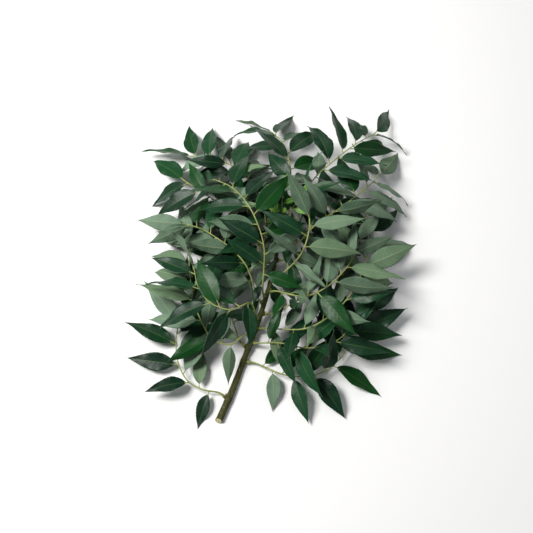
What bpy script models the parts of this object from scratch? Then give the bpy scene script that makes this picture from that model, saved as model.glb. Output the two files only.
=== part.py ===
"""A curry leaf sprig, cut from the bush and laid on a table.

One woody stem carries eighteen compound leaves, called fronds here. Each frond is a thin yellow-green stalk,
the rachis, with pointed leaflets on alternate sides and one at its end. A young shoot closes the stem.

Run it with: blender --background --python part.py
The shapes are worked out in millimetres and become metres where a mesh is made. +Z is up, the table is
Z = 0, and the stem runs along +Y from its cut end. The origin is under the middle of the sprig's box.
"""

import math
import random

import bmesh
import bpy
from mathutils import Matrix, Vector
from mathutils.bvhtree import BVHTree

MM = 0.001
UP = Vector((0, 0, 1))

# ---- Stem -------------------------------------------------------------------------------------------
STEM_ROUTE = [
    (-63.5, -26, 2.7), (-57, -11, 2.6), (-49.5, 7, 2.5), (-38, 39, 2.7),
    (-24, 76, 8.5), (-13, 110, 16), (-5, 142, 24), (0, 168, 31),
]
STEM_RADII = (3.7, 1.7)  # at the cut end and at the tip
STEM_SIDES = 10
STEM_STEP = 10.5  # between the stem's rings
NODE_SWELLING = 0.35  # how far the stem thickens where a frond grows
NODE_REACH = 6.0  # half the length of that thickening
CUT_SLANT = math.radians(28)  # the knife's angle across the stem

# ---- Where a frond meets the stem -------------------------------------------------------------------
BASE_RADIUS = 1.9  # the swollen foot of a frond's stalk
BASE_LENGTH = 9.0  # over which that foot thins down to the stalk
BASE_SIDES = 6
BASE_FLARE = 0.4  # how much wider the stem's side of the joint is
JOINT_GAP = 0.3  # clear space between the stem's leaf base and the frond's foot
LEAN_TO_TIP = 0.45  # how far a foot leans towards the stem's tip
FOOT_LEAD = 7.0  # how far a frond first goes straight out

# ---- Fronds -----------------------------------------------------------------------------------------
RACHIS_RADII = (1.0, 0.6)  # just past the foot and at the end
RACHIS_SIDES = 5
BARE_STALK = 17.0  # from the foot to the first leaflet
BARE_RINGS = (0, 0.22, 0.6)  # where that stretch has its rings; the leafy one has them between leaflets
LEAFLET_SPACING = 10.9  # from one leaflet to the next, which is on the other side
END_LEAFLET_SPACING = 0.6  # the same before the end leaflet, as a share of LEAFLET_SPACING
SPREAD = (72, 46)  # degrees between a leaflet and the rachis, at its foot and at its end

# ---- Leaflets ---------------------------------------------------------------------------------------
BLADE_LENGTH = 58.0  # of the longest leaflets
BLADE_SLENDERNESS = 0.37  # width over length
BLADE_THICKNESS = 1.2  # at the midrib
POINT_THINNING = 0.75  # how much of that is left near the point
BLADE_STATIONS = (0.13, 0.40, 0.72)  # where a blade has its rings, as shares of its length
NEAR_POINT = 0.7  # and where its thin part begins
WIDEST_AT = 0.36
BASE_ROUNDING = (2.2, 0.8)  # powers that shape the outline from the base to there
POINT_DRAWING = (1.65, 1.5)  # and from there to the point
OBLIQUENESS = 0.28  # how much less wide one half starts
FOOT_LEAFLET = 0.66  # size of the leaflet nearest the foot, as a share of the longest
FULL_SIZE_FROM = 0.53  # from this share of the rachis on, leaflets are full-sized
LESSENING_FROM = 0.75  # and from this one on a little smaller again
LESSENING = 0.4
LENGTH_VARIES = (0.92, 1.06)
WIDTH_VARIES = (0.9, 1.1)
HANG = 5  # degrees that leaflets hang down
YAW, PITCH, ROLL, TWIST = 8, 10, 18, 20  # degrees, the spread of how leaflets turn
BEND = (8, 58)  # degrees that a blade bends along its length
FOLD = (0.10, 0.30)  # how far the edges stand up, over half the width
WAVE_HEIGHT = (0.006, 0.018)  # of the edges, over the length
WAVES = 2.3  # along an edge
SIDEWAYS = (-0.02, 0.10)  # how far the point swings sideways, over the length
PETIOLULE_LENGTH = 4.5  # the stalk of the longest leaflets
PETIOLULE_RADIUS = 0.5

# ---- How leaflets keep clear of each other and of the table -----------------------------------------
CLEARANCE = 0.7  # kept round every blade
RACHIS_CLEARANCE = 0.8
FLOOR_HEIGHT = BLADE_THICKNESS / 2  # of the middle of a blade that lies on the table
FLOOR_SOFTNESS = 1.6  # how gently a blade flattens where it meets the table
DEEPEST_PRESS = 9.0  # how far the table may press a midrib up
TRIES = 132  # positions tried for a leaflet before it is left out
SHRINK_EVERY = 12  # tries after which the leaflet is drawn a little smaller
SHRINK = 0.94

# Each frond: its name, where its foot is on the stem (0 cut end, 1 tip), the points that its rachis passes
# through after the foot, +1 if its upper side faces up or -1 if its paler underside does, and how far it
# banks to one side at its foot and at its end, in degrees.
FRONDS = [
    ("frond_01", 0.115, [(-80, 5, 8), (-96, 14, 9), (-107, 34, 8), (-110, 63, 7), (-104, 93, 6)], 1, (-8, -4)),
    ("frond_02", 0.32, [(6, 20, 9), (36, 20, 10), (62, 37, 9), (79, 64, 8), (87, 94, 6)], 1, (8, 4)),
    ("frond_03", 0.388, [(-51, 80, 10), (-66, 108, 11), (-72, 141, 10), (-67, 175, 8), (-54, 204, 6)], 1, (-6, 6)),
    ("frond_04", 0.418, [(1, 51, 21), (28, 45, 24), (54, 51, 23), (77, 69, 18)], 1, (6, -4)),
    ("frond_05", 0.449, [(-52, 49, 23), (-70, 54, 27), (-83, 74, 30), (-92, 101, 30), (-97, 133, 26), (-99, 164, 18)],
     -1, (10, -14)),
    ("frond_06", 0.5, [(26, 65, 27), (51, 77, 32), (74, 101, 34), (90, 133, 32), (98, 168, 27), (95, 200, 19)],
     -1, (-6, 10)),
    ("frond_07", 0.543, [(-32, 86, 48), (-50, 76, 57), (-70, 82, 59), (-84, 101, 53), (-90, 124, 43)], 1, (4, 10)),
    ("frond_08", 0.578, [(34, 112, 13), (54, 141, 11), (62, 175, 9), (58, 209, 7)], 1, (6, -6)),
    ("frond_09", 0.629, [(-35, 127, 44), (-49, 144, 47), (-67, 160, 43), (-86, 175, 35), (-103, 185, 24)],
     -1, (12, -10)),
    ("frond_10", 0.664, [(-17, 143, 58), (-24, 166, 69), (-36, 190, 70), (-52, 211, 62), (-70, 226, 50)], 1, (8, -8)),
    ("frond_11", 0.699, [(26, 94, 46), (46, 102, 49), (63, 118, 47), (77, 139, 41), (84, 160, 32)], -1, (-10, 12)),
    ("frond_12", 0.75, [(20, 133, 61), (28, 151, 69), (30, 175, 67), (25, 201, 59), (16, 228, 47)], -1, (-12, 8)),
    ("frond_13", 0.81, [(-34, 170, 50), (-58, 192, 50), (-83, 214, 42), (-106, 236, 28)], 1, (10, -12)),
    ("frond_14", 0.862, [(38, 172, 52), (64, 191, 52), (90, 216, 43), (113, 243, 28)], -1, (-8, 10)),
    ("frond_15", 0.901, [(-20, 206, 52), (-38, 231, 50), (-59, 252, 41), (-80, 267, 26), (-100, 276, 12)], 1, (8, -8)),
    ("frond_16", 0.935, [(11, 184, 33), (13, 216, 43), (11, 250, 44), (4, 281, 34), (-7, 304, 18)], 1, (-4, 8)),
    ("frond_17", 0.966, [(33, 220, 52), (60, 250, 50), (87, 277, 40), (111, 300, 24)], 1, (6, 8)),
    ("frond_18", 0.838, [(-21, 168, 27), (-36, 203, 21), (-48, 238, 14), (-56, 270, 9)], 1, (4, -6)),
]

# ---- Young shoot ------------------------------------------------------------------------------------
SHOOT_STRAIGHT = 5.0  # how far the shoot first follows the stem
SHOOT_ROUTE = [(1, 9, 10), (2, 12, 21)]  # where it goes then, from the stem's tip
SHOOT_RADII = (1.6, 0.8)
SHOOT_SIDES = 6
SHOOT_STEP = 5.0
YOUNG_RACHIS_RADII = (0.8, 0.5)
YOUNG_SPACING = 9.0
YOUNG_BARE = 8.0
YOUNG_BLADE_LENGTH = 20.0
# Each young frond: its name, where it starts on the shoot, and the points that it passes through from there.
YOUNG_FRONDS = [
    ("young_left", 0.50, [(-6, 6, 8), (-13, 15, 15), (-18, 27, 19)]),
    ("young_right", 0.72, [(7, 6, 7), (14, 13, 13), (21, 23, 16)]),
    ("young_middle", 0.95, [(0, 5, 8), (0, 12, 16), (2, 22, 22)]),
]

FLAT_WITHIN = math.radians(0.4)  # neighbouring faces that make one flat face

# ---- Colours ----------------------------------------------------------------------------------------
LEAF_GREEN = (0.016, 0.075, 0.018, 1)
STALK_GREEN = (0.30, 0.34, 0.07, 1)
YOUNG_GREEN = (0.12, 0.26, 0.045, 1)
BARK_BROWN = (0.085, 0.075, 0.028, 1)


# ---- Routes: smooth lines through a few points --------------------------------------------------------
def smooth_line(points, steps=16):
    """Points close together on a centripetal Catmull-Rom curve through the given ones."""
    given = [Vector(p) for p in points]
    given = [2 * given[0] - given[1], *given, 2 * given[-1] - given[-2]]
    line = []
    for a, b, c, d in zip(given, given[1:], given[2:], given[3:]):
        t1 = (b - a).length ** 0.5
        t2 = t1 + (c - b).length ** 0.5
        t3 = t2 + (d - c).length ** 0.5
        for i in range(steps):
            t = t1 + (t2 - t1) * i / steps
            ab = a.lerp(b, t / t1)
            bc = b.lerp(c, (t - t1) / (t2 - t1))
            cd = c.lerp(d, (t - t2) / (t3 - t2))
            start, end = ab.lerp(bc, t / t2), bc.lerp(cd, (t - t1) / (t3 - t1))
            line.append(start.lerp(end, (t - t1) / (t2 - t1)))
    return [*line, given[-2]]


class Route:
    """A smooth line, read by the distance along it."""

    def __init__(self, points):
        self.line = smooth_line(points)
        self.far = [0.0]
        for a, b in zip(self.line, self.line[1:]):
            self.far.append(self.far[-1] + (b - a).length)
        self.length = self.far[-1]

    def point(self, distance):
        distance = min(max(distance, 0.0), self.length)
        i = 1
        while self.far[i] < distance and i < len(self.far) - 1:
            i += 1
        return self.line[i - 1].lerp(self.line[i], (distance - self.far[i - 1]) / (self.far[i] - self.far[i - 1]))

    def along(self, distance):
        """The line's direction there."""
        return (self.point(distance + 0.8) - self.point(distance - 0.8)).normalized()


def between(pair, share):
    return pair[0] + (pair[1] - pair[0]) * share


def evenly(length, step):
    """Distances from 0 to length, about a step apart."""
    count = max(3, round(length / step) + 1)
    return [length * i / (count - 1) for i in range(count)]


# ---- Solids made of rings -----------------------------------------------------------------------------
def skin(rings, tip=None):
    """(points, faces) of the closed solid over these rings, each a list of points of the same count.
    Diagonals lean one way on even sides and the other way on odd ones, so that a blade's upper and lower
    faces are split alike and can't cross."""
    count = len(rings[0])
    points = [p for ring in rings for p in ring]
    faces = [tuple(reversed(range(count)))]
    for k in range(len(rings) - 1):
        for i in range(count):
            a, b = k * count + i, k * count + (i + 1) % count
            c, d = b + count, a + count
            faces += [(a, b, c), (a, c, d)] if i % 2 == 0 else [(a, b, d), (b, c, d)]
    last = (len(rings) - 1) * count
    if tip is None:
        faces.append(tuple(range(last, last + count)))
    else:
        points.append(tip)
        faces += [(last + i, last + (i + 1) % count, last + count) for i in range(count)]
    return points, faces


def circle(centre, axis, radius, sides):
    """A ring of points round the axis, the first of them as high up as it can be."""
    first = (UP - axis * axis.z).normalized()
    second = axis.cross(first)
    turn = 2 * math.pi / sides
    return [centre + radius * (first * math.cos(i * turn) + second * math.sin(i * turn)) for i in range(sides)]


def tube(route, places, radius_at, sides):
    """Rings round the route at these distances along it, each of the radius radius_at(distance)."""
    return [circle(route.point(d), route.along(d), radius_at(d), sides) for d in places]


def shell(rings):
    """A surface that other shells can be tested against."""
    return BVHTree.FromPolygons(*skin(rings))


# ---- Leaflets -----------------------------------------------------------------------------------------
def above_table(height):
    """The height at which the table holds a blade's middle that would hang at this height without it."""
    over = (height - FLOOR_HEIGHT) / FLOOR_SOFTNESS
    return FLOOR_HEIGHT + FLOOR_SOFTNESS * (max(over, 0.0) + math.log1p(math.exp(-abs(over))))


class Leaflet:
    """One leaflet: where it starts, how it lies and how it is bent. Its blade is read by u, from 0 at its
    base to 1 at its point, and v, from -1 at one edge over 0 at the midrib to 1 at the other edge.
    ahead, across and normal are its own directions, and normal leaves its upper side."""

    def __init__(self, root, ahead, normal, length, chance, loose, side):
        self.root = root
        self.length = length
        down = -1 if normal.z > 0 else 1
        yaw = chance.gauss(0, YAW) * loose
        pitch = HANG * down + chance.gauss(0, PITCH) * loose
        roll = chance.gauss(0, ROLL) * loose
        ahead = Matrix.Rotation(math.radians(yaw), 3, normal) @ ahead.normalized()
        across = normal.cross(ahead).normalized()
        self.ahead = Matrix.Rotation(math.radians(-pitch), 3, across) @ ahead
        self.across = Matrix.Rotation(math.radians(roll), 3, self.ahead) @ across
        self.normal = self.ahead.cross(self.across).normalized()
        self.width = length * BLADE_SLENDERNESS * chance.uniform(*WIDTH_VARIES)
        self.bend = math.radians(chance.uniform(*BEND)) * (1 if self.normal.z > 0 else -1)
        self.twist = math.radians(chance.gauss(0, TWIST))
        self.fold = chance.uniform(*FOLD)
        self.wave = length * chance.uniform(*WAVE_HEIGHT)
        self.phase = chance.uniform(0, 2 * math.pi)
        self.lean = side * chance.uniform(*SIDEWAYS)
        self.narrow_side = side or 1
        self.stalk = PETIOLULE_LENGTH * length / BLADE_LENGTH + 0.8

    def outline(self, u):
        """Half the blade's width at u, over its greatest: round at the base and drawn out at the point."""
        if u < WIDEST_AT:
            away, (inner, outer) = (WIDEST_AT - u) / WIDEST_AT, BASE_ROUNDING
        else:
            away, (inner, outer) = (u - WIDEST_AT) / (1 - WIDEST_AT), POINT_DRAWING
        return (1 - away**inner) ** outer

    def midrib(self, u):
        """The midrib's point at u, and the blade's directions across and normal to it there."""
        angle = self.bend * u
        forward = self.stalk + self.length * math.sin(angle) / self.bend
        drop = self.length * (1 - math.cos(angle)) / self.bend
        place = self.root + self.ahead * forward - self.normal * drop
        place = place + self.across * (self.lean * self.length * u * u)
        ahead = self.ahead * math.cos(angle) - self.normal * math.sin(angle)
        across = Matrix.Rotation(self.twist * u, 3, ahead) @ self.across
        return place, across, ahead.cross(across)

    def point(self, u, v, lift=0.0, margin=0.0):
        """A point of the blade, lifted off its middle surface and moved out past its edge."""
        place, across, normal = self.midrib(u)
        oblique = 1 - OBLIQUENESS * (1 - u) ** 3 if v * self.narrow_side > 0 else 1
        half = self.width / 2 * self.outline(u) * oblique
        rise = self.fold * half * v * v / (abs(v) + 0.2)
        rise += self.wave * math.sin(2 * math.pi * WAVES * u + self.phase + (1.9 if v > 0 else 0)) * v * v
        edge = v * half + (margin if v > 0 else -margin if v < 0 else 0)
        spot = place + across * edge + normal * rise
        spot.z = above_table(spot.z)
        return spot + normal * lift

    def lowest(self):
        """How low the midrib would hang if there were no table."""
        return min(self.midrib(u)[0].z for u in (0.3, 0.6, 1.0))

    def stalk_rings(self, radius):
        up, out = self.normal * radius, self.across * radius
        ends = [self.root, self.root + self.ahead * (self.stalk + 0.02 * self.length)]
        return [[p - out, p - up, p + out, p + up] for p in ends]

    def solid(self):
        """The leaflet as a closed solid: a thin stalk that opens into a lens-shaped blade."""
        rings = self.stalk_rings(PETIOLULE_RADIUS)
        for u in BLADE_STATIONS:
            half = BLADE_THICKNESS / 2 * (POINT_THINNING if u > NEAR_POINT else 1)
            rings.append([self.point(u, -1), self.point(u, 0, -half), self.point(u, 1), self.point(u, 0, half)])
        return skin(rings, self.point(1, 0))

    def shells(self):
        """Thicker, wider stand-ins for the blade and its stalk, that tell whether they are clear of the rest."""
        thick = BLADE_THICKNESS / 2 + CLEARANCE
        rings = []
        for u in (0.03, *BLADE_STATIONS, 1.0):
            under = [self.point(u, v, -thick, CLEARANCE) for v in (-1, 0, 1)]
            over = [self.point(u, v, thick, CLEARANCE) for v in (1, 0, -1)]
            rings.append(under + over)
        return shell(rings), shell(self.stalk_rings(PETIOLULE_RADIUS + CLEARANCE / 2))


# ---- Fronds -------------------------------------------------------------------------------------------
class Frond:
    """One compound leaf: its rachis's route, and the place and size of each leaflet."""

    def __init__(self, name, points, face, bank, radii, bare, spacing, blade_length):
        self.name = name
        self.route = Route(points)
        self.face = face
        self.bank = bank
        self.radii = radii
        self.bare = bare
        self.blade_length = blade_length
        leafy = self.route.length - bare - END_LEAFLET_SPACING * spacing
        self.count = max(3, round(leafy / spacing) + 1)
        self.spacing = leafy / (self.count - 1)
        self.places = [bare * share for share in BARE_RINGS]
        self.places += [bare + self.spacing * (number + 0.5) for number in range(self.count - 1)]
        self.places.append(self.route.length)

    def radius(self, distance):
        foot = max(0.0, 1 - distance / BASE_LENGTH) ** 2 if self.radii == RACHIS_RADII else 0
        return between(self.radii, distance / self.route.length) + (BASE_RADIUS - self.radii[0]) * foot

    def rings(self, extra=0.0):
        return tube(self.route, self.places, lambda d: self.radius(d) + extra, RACHIS_SIDES)

    def axis(self, distance):
        """The point of the ringed rachis's own axis, which cuts the route's corners a little."""
        after = next(i for i, place in enumerate(self.places) if place >= distance)
        start, end = self.places[after - 1], self.places[after]
        return self.route.point(start).lerp(self.route.point(end), (distance - start) / (end - start))

    def facing(self, distance):
        """The direction that the frond's upper side faces there."""
        along = self.route.along(distance)
        up = (UP - along * along.z).normalized()
        bank = between(self.bank, distance / self.route.length)
        return Matrix.Rotation(math.radians(bank), 3, along) @ up * self.face

    def leaflet(self, number, loose, scale, chance):
        """The leaflet of this number, counted from the foot. The last one ends the rachis."""
        share = number / self.count
        distance = self.bare + number * self.spacing
        side = 1 if number % 2 == 0 else -1
        spread = math.radians(between(SPREAD, share))
        size = FOOT_LEAFLET + (1 - FOOT_LEAFLET) * math.sin(math.pi / 2 * min(1.0, share / FULL_SIZE_FROM))
        size -= LESSENING * max(0.0, share - LESSENING_FROM)
        if number == self.count:
            distance, side, spread, size = self.route.length - 0.5, 0, 0, 1
        along, normal = self.route.along(distance), self.facing(distance)
        ahead = along * math.cos(spread) + normal.cross(along) * side * math.sin(spread)
        length = self.blade_length * scale * size * chance.uniform(*LENGTH_VARIES)
        return Leaflet(self.axis(distance), ahead, normal, length, chance, loose, side)

    def grow(self, others):
        """The leaflets. Each is drawn again, more loosely and a little smaller, until it is clear of the
        others and of the table, and is left out where no draw is."""
        own = shell(self.rings(0.3))
        leaflets = []
        for number in range(self.count + 1):
            for attempt in range(TRIES):
                chance = random.Random(f"{self.name} {number} {attempt}")
                leaflet = self.leaflet(number, 0.8 + attempt / 22, SHRINK ** (attempt // SHRINK_EVERY), chance)
                blade, stalk = leaflet.shells()
                clear = leaflet.lowest() > FLOOR_HEIGHT - DEEPEST_PRESS
                clear = clear and (number == self.count or not blade.overlap(own))
                if clear and not any(blade.overlap(other) or stalk.overlap(other) for other in others):
                    others += [blade, stalk]
                    leaflets.append(leaflet)
                    break
        return leaflets


# ---- The stem and the young shoot -----------------------------------------------------------------------
def stem_radius(stem, distance):
    radius = between(STEM_RADII, distance / stem.length)
    for _, share, *_ in FRONDS:
        away = abs(distance - share * stem.length)
        radius += NODE_SWELLING * max(0.0, 1 - away / NODE_REACH)
    return radius


def stem_solid(stem):
    """The stem, with its cut end slanted and its underside flat where it lies on the table."""
    rings = tube(stem, evenly(stem.length, STEM_STEP), lambda d: stem_radius(stem, d), STEM_SIDES)
    cut, along = stem.point(0), stem.along(0)
    rings[0] = [p + along * (p - cut).z * math.tan(CUT_SLANT) for p in rings[0]]
    for ring in rings:
        for p in ring:
            p.z = max(p.z, 0.0)
    return skin(rings)


def foot_of(stem, share, first):
    """The stem's point where a frond grows, the direction of its foot, and how far out the foot starts."""
    distance = share * stem.length
    centre, along = stem.point(distance), stem.along(distance)
    towards = (Vector(first) - centre).normalized()
    away = (towards - along * towards.dot(along)).normalized()
    lean = LEAN_TO_TIP * min(1.0, max(0.0, 0.5 + towards.dot(along)))
    out = (away + along * lean).normalized()
    cleared = stem_radius(stem, distance) + JOINT_GAP + BASE_RADIUS * out.dot(along)
    return centre, out, cleared / out.dot(away) + 0.5


def leaf_base(centre, out, reach):
    """The short cone on the stem that a frond's foot meets."""
    ends = [(centre, BASE_RADIUS + BASE_FLARE), (centre + out * (reach - JOINT_GAP), BASE_RADIUS)]
    return skin([circle(place, out, radius, BASE_SIDES) for place, radius in ends])


def shoot_rings(shoot, extra=0.0):
    def radius(distance):
        return between(SHOOT_RADII, distance / shoot.length) + extra

    return tube(shoot, evenly(shoot.length, SHOOT_STEP), radius, SHOOT_SIDES)


def young_shoot(stem):
    """The young shoot's route and its small fronds."""
    ahead = stem.along(stem.length)
    start = stem.point(stem.length) + ahead * JOINT_GAP
    shoot = Route([start, start + ahead * SHOOT_STRAIGHT] + [start + Vector(p) for p in SHOOT_ROUTE])
    fronds = []
    for name, share, points in YOUNG_FRONDS:
        root = shoot.point(share * shoot.length)
        route = [root] + [root + Vector(p) for p in points]
        fronds.append(Frond(name, route, 1, (0, 0), YOUNG_RACHIS_RADII, YOUNG_BARE, YOUNG_SPACING, YOUNG_BLADE_LENGTH))
    return shoot, fronds


# ---- Meshes ---------------------------------------------------------------------------------------------
def principled(name, colour, roughness):
    material = bpy.data.materials.new(name)
    material.use_nodes = True
    shader = material.node_tree.nodes["Principled BSDF"]
    shader.inputs["Base Color"].default_value = colour
    shader.inputs["Roughness"].default_value = roughness
    shader.inputs["Metallic"].default_value = 0.0
    material.diffuse_color = colour
    return material


def mesh_object(name, solid, material):
    """A Blender object for a solid given in millimetres."""
    points, faces = solid
    mesh = bpy.data.meshes.new(name)
    mesh.from_pydata([p * MM for p in points], [], faces)
    mesh.materials.append(material)
    thing = bpy.data.objects.new(name, mesh)
    bpy.context.scene.collection.objects.link(thing)
    return thing


def merge_flat_faces(mesh):
    """Undoes the cuts that a union leaves across flat faces, and splits those into triangles again."""
    shape = bmesh.new()
    shape.from_mesh(mesh)
    bmesh.ops.dissolve_limit(shape, angle_limit=FLAT_WITHIN, verts=shape.verts, edges=shape.edges, delimit={"MATERIAL"})
    bmesh.ops.triangulate(shape, faces=shape.faces)
    shape.to_mesh(mesh)
    shape.free()


def fuse(body, additions):
    """Joins the additions to the body by one Boolean union, applied, and removes them."""
    group = bpy.data.collections.new(body.name + "_additions")
    bpy.context.scene.collection.children.link(group)
    for thing in additions:
        bpy.context.scene.collection.objects.unlink(thing)
        group.objects.link(thing)
    union = body.modifiers.new("union", "BOOLEAN")
    union.operation = "UNION"
    union.operand_type = "COLLECTION"
    union.collection = group
    union.solver = "MANIFOLD"
    union.material_mode = "TRANSFER"
    bpy.context.view_layer.update()
    joined = bpy.data.meshes.new_from_object(body.evaluated_get(bpy.context.evaluated_depsgraph_get()))
    body.modifiers.clear()
    body.data = joined
    merge_flat_faces(joined)
    for thing in additions:
        bpy.data.objects.remove(thing)
    bpy.data.collections.remove(group)


def centre_on_table(things):
    """Moves everything so that the origin is under the middle of the sprig's box, on the table."""
    corners = [v.co for thing in things for v in thing.data.vertices]
    low = [min(p[axis] for p in corners) for axis in range(3)]
    high = [max(p[axis] for p in corners) for axis in range(3)]
    shift = Vector((-(low[0] + high[0]) / 2, -(low[1] + high[1]) / 2, -low[2]))
    for thing in things:
        thing.data.transform(Matrix.Translation(shift))


def main():
    for thing in list(bpy.data.objects):
        bpy.data.objects.remove(thing)
    leaf = principled("leaf", LEAF_GREEN, 0.35)
    stalk = principled("stalk", STALK_GREEN, 0.5)
    bark = principled("bark", BARK_BROWN, 0.75)
    young = principled("young_leaf", YOUNG_GREEN, 0.4)

    stem = Route(STEM_ROUTE)
    fronds, bases = [], []
    for name, share, points, face, bank in FRONDS:
        centre, out, reach = foot_of(stem, share, points[0])
        bases.append(leaf_base(centre, out, reach))
        points = [centre + out * reach, centre + out * (reach + FOOT_LEAD), *points]
        fronds.append(Frond(name, points, face, bank, RACHIS_RADII, BARE_STALK, LEAFLET_SPACING, BLADE_LENGTH))
    shoot, young_fronds = young_shoot(stem)

    stem_tube = tube(stem, evenly(stem.length, 9), lambda d: stem_radius(stem, d) + RACHIS_CLEARANCE, 8)
    others = [shell(stem_tube), shell(shoot_rings(shoot, RACHIS_CLEARANCE))]
    rachises = {frond.name: shell(frond.rings(RACHIS_CLEARANCE)) for frond in fronds + young_fronds}
    grown = {}
    for frond in young_fronds + fronds:
        rest = others + [rachis for name, rachis in rachises.items() if name != frond.name]
        before = len(rest)
        grown[frond.name] = frond.grow(rest)
        others += rest[before:]

    trunk = mesh_object("stem", stem_solid(stem), bark)
    fuse(trunk, [mesh_object("leaf_base", base, bark) for base in bases])
    things = [trunk]
    for frond in fronds:
        body = mesh_object(frond.name, skin(frond.rings()), stalk)
        fuse(body, [mesh_object("leaflet", leaflet.solid(), leaf) for leaflet in grown[frond.name]])
        things.append(body)
    tip = mesh_object("young_shoot", skin(shoot_rings(shoot)), young)
    twigs = [mesh_object("twig", skin(frond.rings()), young) for frond in young_fronds]
    blades = [leaflet for frond in young_fronds for leaflet in grown[frond.name]]
    fuse(tip, twigs + [mesh_object("young_leaflet", leaflet.solid(), young) for leaflet in blades])
    things.append(tip)
    centre_on_table(things)


main()
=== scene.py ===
"""The looks of a curry leaf sprig that lies on a pale table: fine leaflets, stalks, bark and a young shoot,
set where the part's solids are. The first half lays the leaflets out by the part's own rule, and the second
gives them fine shapes and materials. Lengths are in millimetres up to Solid.build, and in metres after it."""

import math
import random

import bpy
import numpy as np
from mathutils import Matrix, Vector
from mathutils.bvhtree import BVHTree


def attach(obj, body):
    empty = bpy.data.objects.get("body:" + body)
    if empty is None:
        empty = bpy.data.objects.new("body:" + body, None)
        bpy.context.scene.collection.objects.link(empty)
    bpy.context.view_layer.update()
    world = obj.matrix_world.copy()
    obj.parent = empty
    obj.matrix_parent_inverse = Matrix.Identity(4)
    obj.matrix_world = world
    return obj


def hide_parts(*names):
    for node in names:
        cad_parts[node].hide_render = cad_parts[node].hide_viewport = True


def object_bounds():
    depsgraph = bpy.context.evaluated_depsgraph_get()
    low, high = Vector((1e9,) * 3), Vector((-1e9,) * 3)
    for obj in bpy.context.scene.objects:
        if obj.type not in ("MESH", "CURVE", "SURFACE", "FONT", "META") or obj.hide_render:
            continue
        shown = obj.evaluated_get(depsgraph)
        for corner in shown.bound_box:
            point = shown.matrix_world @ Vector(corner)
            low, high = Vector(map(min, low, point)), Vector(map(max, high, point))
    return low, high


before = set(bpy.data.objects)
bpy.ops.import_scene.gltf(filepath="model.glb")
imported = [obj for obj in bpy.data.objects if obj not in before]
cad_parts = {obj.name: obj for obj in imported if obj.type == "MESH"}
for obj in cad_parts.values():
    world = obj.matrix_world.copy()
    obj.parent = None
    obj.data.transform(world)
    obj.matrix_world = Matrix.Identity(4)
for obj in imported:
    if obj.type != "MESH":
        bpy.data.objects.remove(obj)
cad_low, cad_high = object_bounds()

MM = 0.001
UP = Vector((0, 0, 1))

# ---- The part's sizes and routes, as in its source ----
STEM_ROUTE = [
    (-63.5, -26, 2.7), (-57, -11, 2.6), (-49.5, 7, 2.5), (-38, 39, 2.7),
    (-24, 76, 8.5), (-13, 110, 16), (-5, 142, 24), (0, 168, 31),
]
STEM_RADII = (3.7, 1.7)  # at the cut end and at the tip
STEM_SIDES, STEM_STEP = 10, 10.5
NODE_SWELLING, NODE_REACH = 0.35, 6.0
CUT_SLANT = math.radians(28)
BASE_RADIUS, BASE_LENGTH, BASE_FLARE = 1.9, 9.0, 0.4
JOINT_GAP = 0.3
LEAN_TO_TIP = 0.45
FOOT_LEAD, FOOT_MARGIN = 7.0, 0.5

RACHIS_RADII, RACHIS_SIDES = (1.0, 0.6), 5
BARE_STALK = 17.0  # from the foot to the first leaflet
BARE_RINGS = (0, 0.22, 0.6)
LEAFLET_SPACING, END_LEAFLET_SPACING = 10.9, 0.6
END_ROOT = 0.5
SPREAD = (72, 46)  # degrees between leaflet and rachis, at its foot and at its end

BLADE_LENGTH = 58.0  # of the longest leaflets
BLADE_SLENDERNESS = 0.37
BLADE_THICKNESS = 1.2
POINT_THINNING, NEAR_POINT = 0.75, 0.7
BLADE_STATIONS = (0.13, 0.40, 0.72)
WIDEST_AT = 0.36
BASE_ROUNDING, POINT_DRAWING = (2.2, 0.8), (1.65, 1.5)
OBLIQUENESS = 0.28
FOOT_LEAFLET, FULL_SIZE_FROM = 0.66, 0.53
LESSENING_FROM, LESSENING = 0.75, 0.4
LENGTH_VARIES, WIDTH_VARIES = (0.92, 1.06), (0.9, 1.1)
HANG, YAW, PITCH, ROLL, TWIST = 5, 8, 10, 18, 20  # degrees
BEND = (8, 58)  # degrees
FOLD, FOLD_ROUNDING = (0.10, 0.30), 0.2
WAVES, WAVE_HEIGHT = 2.3, (0.006, 0.018)
WAVES_APART = 1.9  # radians between the waves of the two edges
SIDEWAYS = (-0.02, 0.10)
PETIOLULE_LENGTH, PETIOLULE_RADIUS = 4.5, 0.5
PETIOLULE_ROOT, PETIOLULE_OVERLAP = 0.8, 0.02  # inside the rachis and inside the blade

CLEARANCE, RACHIS_CLEARANCE, OWN_CLEARANCE = 0.7, 0.8, 0.3
GUARD_STEP, GUARD_SIDES = 9, 8  # of the stem as leaflets keep clear of it
GUARD_STATIONS = (0.03, *BLADE_STATIONS, 1.0)  # and of a blade as the others do
FLOOR_HEIGHT, FLOOR_SOFTNESS = BLADE_THICKNESS / 2, 1.6
DEEPEST_PRESS = 9.0
TRIES, SHRINK_EVERY, SHRINK = 132, 12, 0.94
LOOSE_AT_FIRST, LOOSER_OVER = 0.8, 22  # how freely a leaflet turns, and the tries that add 1 to that

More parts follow.
